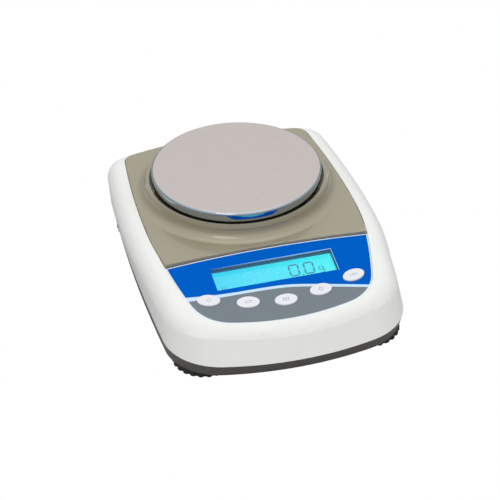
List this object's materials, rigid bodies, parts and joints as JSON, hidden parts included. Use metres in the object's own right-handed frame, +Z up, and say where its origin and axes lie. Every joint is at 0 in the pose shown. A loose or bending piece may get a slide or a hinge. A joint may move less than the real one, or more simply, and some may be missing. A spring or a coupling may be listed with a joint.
{
  "type": "laboratory balance",
  "caption": "Electronic laboratory balance with a round steel pan, blue key panel and lit display, low white housing on levelling feet.",
  "frame": {"origin": "on the bench, below the middle of the body's footprint", "axes": "+Z up, +Y to the rear, away from the keys, +X to the user's right"},
  "size_m": [0.175, 0.2442, 0.0665],
  "materials": {
    "cover_plastic": "satin",
    "base_plastic": "fine texture",
    "deck_paint": "gloss",
    "panel_film": "printed, smooth",
    "window_clear": "clear",
    "frame_plastic": "satin",
    "display_face": "smooth",
    "lamp_plastic": "diffuse",
    "board_green": "solder mask",
    "switch_plastic": "satin",
    "key_white": "satin",
    "screw_steel": "plated",
    "level_plastic": "satin",
    "level_liquid": "liquid",
    "level_clear": "clear",
    "alloy": "machined",
    "seal_white": "soft",
    "post_steel": "turned",
    "support_alloy": "cast",
    "rubber": "soft",
    "pan_steel": "fine brushed",
    "chip_black": "moulded",
    "capacitor_sleeve": "shrink sleeve",
    "tin": "tinned",
    "header_white": "moulded",
    "ribbon_grey": "soft",
    "lead_grey": "soft",
    "insert_black": "moulded",
    "socket_black": "moulded",
    "insert_brass": "turned",
    "wheel_black": "moulded",
    "stud_steel": "plated",
    "pad_rubber": "soft"
  },
  "bodies": {
    "housing": {"board_chips": "chip_black", "board_screws": "screw_steel", "bottom_housing": "base_plastic", "bracket_screws": "screw_steel", "cable_headers": "header_white", "capacitors": "capacitor_sleeve", "cell_block": "alloy", "cell_lead": "lead_grey", "cell_screws": "screw_steel", "deck_plate": "deck_paint", "deck_screws": "screw_steel", "display_board": "board_green", "display_frame": "frame_plastic", "display_glass": "display_face", "display_lamp": "lamp_plastic", "display_ribbon": "ribbon_grey", "display_screws": "screw_steel", "display_window": "window_clear", "foot_inserts": "insert_brass", "gauge_seals": "seal_white", "housing_screws": "screw_steel", "key_switches": "switch_plastic", "level_cup": "level_plastic", "level_lens": "level_clear", "level_liquid": "level_liquid", "load_cell": "alloy", "main_board": "board_green", "pan_bracket": "alloy", "pan_post": "post_steel", "panel_overlay": "panel_film", "power_socket": "socket_black", "rear_board": "board_green", "rear_ribbon": "ribbon_grey", "screen_can": "tin", "serial_insert": "insert_black", "serial_locks": "screw_steel", "serial_socket": "tin", "stop_nut": "screw_steel", "stop_screw": "screw_steel", "top_cover": "cover_plastic"},
    "support": {"pan_support": "support_alloy", "pan_cushions": "rubber"},
    "pan": {"weighing_pan": "pan_steel"},
    "key_power_body": {"key_power": "key_white"},
    "key_unit_body": {"key_unit": "key_white"},
    "key_count_body": {"key_count": "key_white"},
    "key_calibrate_body": {"key_calibrate": "key_white"},
    "key_tare_body": {"key_tare": "key_white"},
    "front_left_pad": {"pad_front_left": "pad_rubber"},
    "front_left_screw": {"wheel_front_left": "wheel_black", "stud_front_left": "stud_steel"},
    "front_right_pad": {"pad_front_right": "pad_rubber"},
    "front_right_screw": {"wheel_front_right": "wheel_black", "stud_front_right": "stud_steel"},
    "rear_left_pad": {"pad_rear_left": "pad_rubber"},
    "rear_left_screw": {"wheel_rear_left": "wheel_black", "stud_rear_left": "stud_steel"},
    "rear_right_pad": {"pad_rear_right": "pad_rubber"},
    "rear_right_screw": {"wheel_rear_right": "wheel_black", "stud_rear_right": "stud_steel"}
  },
  "joints": [
    {"name": "support_lift", "type": "slide", "parent": "housing", "child": "support", "axis": [0, 0, 1], "range_m": [0, 0.05]},
    {"name": "pan_lift", "type": "slide", "parent": "support", "child": "pan", "axis": [0, 0, 1], "range_m": [0, 0.05]},
    {"name": "power_press", "type": "slide", "parent": "housing", "child": "key_power_body", "axis": [0, 0.1914, -0.9815], "range_m": [0, 0.0005], "stiffness_N_per_m": 1500},
    {"name": "unit_press", "type": "slide", "parent": "housing", "child": "key_unit_body", "axis": [0, 0.1914, -0.9815], "range_m": [0, 0.0005], "stiffness_N_per_m": 1500},
    {"name": "count_press", "type": "slide", "parent": "housing", "child": "key_count_body", "axis": [0, 0.1914, -0.9815], "range_m": [0, 0.0005], "stiffness_N_per_m": 1500},
    {"name": "calibrate_press", "type": "slide", "parent": "housing", "child": "key_calibrate_body", "axis": [0, 0.1914, -0.9815], "range_m": [0, 0.0005], "stiffness_N_per_m": 1500},
    {"name": "tare_press", "type": "slide", "parent": "housing", "child": "key_tare_body", "axis": [0, 0.1914, -0.9815], "range_m": [0, 0.0005], "stiffness_N_per_m": 1500},
    {"name": "front_left_height", "type": "slide", "parent": "housing", "child": "front_left_pad", "axis": [0, 0, 1], "range_m": [-0.008, 0]},
    {"name": "front_left_turn", "type": "hinge", "parent": "front_left_pad", "child": "front_left_screw", "pos_m": [-0.0568, -0.0835, 0.0032], "axis": [0, 0, 1], "range_deg": [-2880, 0]},
    {"name": "front_right_height", "type": "slide", "parent": "housing", "child": "front_right_pad", "axis": [0, 0, 1], "range_m": [-0.008, 0]},
    {"name": "front_right_turn", "type": "hinge", "parent": "front_right_pad", "child": "front_right_screw", "pos_m": [0.0568, -0.0835, 0.0032], "axis": [0, 0, 1], "range_deg": [-2880, 0]},
    {"name": "rear_left_height", "type": "slide", "parent": "housing", "child": "rear_left_pad", "axis": [0, 0, 1], "range_m": [-0.008, 0]},
    {"name": "rear_left_turn", "type": "hinge", "parent": "rear_left_pad", "child": "rear_left_screw", "pos_m": [-0.0568, 0.0835, 0.0032], "axis": [0, 0, 1], "range_deg": [-2880, 0]},
    {"name": "rear_right_height", "type": "slide", "parent": "housing", "child": "rear_right_pad", "axis": [0, 0, 1], "range_m": [-0.008, 0]},
    {"name": "rear_right_turn", "type": "hinge", "parent": "rear_right_pad", "child": "rear_right_screw", "pos_m": [0.0568, 0.0835, 0.0032], "axis": [0, 0, 1], "range_deg": [-2880, 0]}
  ],
  "couplings": [
    {"joint": "front_left_height", "follows": "front_left_turn", "m_per_rad": 0.00015915},
    {"joint": "front_right_height", "follows": "front_right_turn", "m_per_rad": 0.00015915},
    {"joint": "rear_left_height", "follows": "rear_left_turn", "m_per_rad": 0.00015915},
    {"joint": "rear_right_height", "follows": "rear_right_turn", "m_per_rad": 0.00015915}
  ]
}
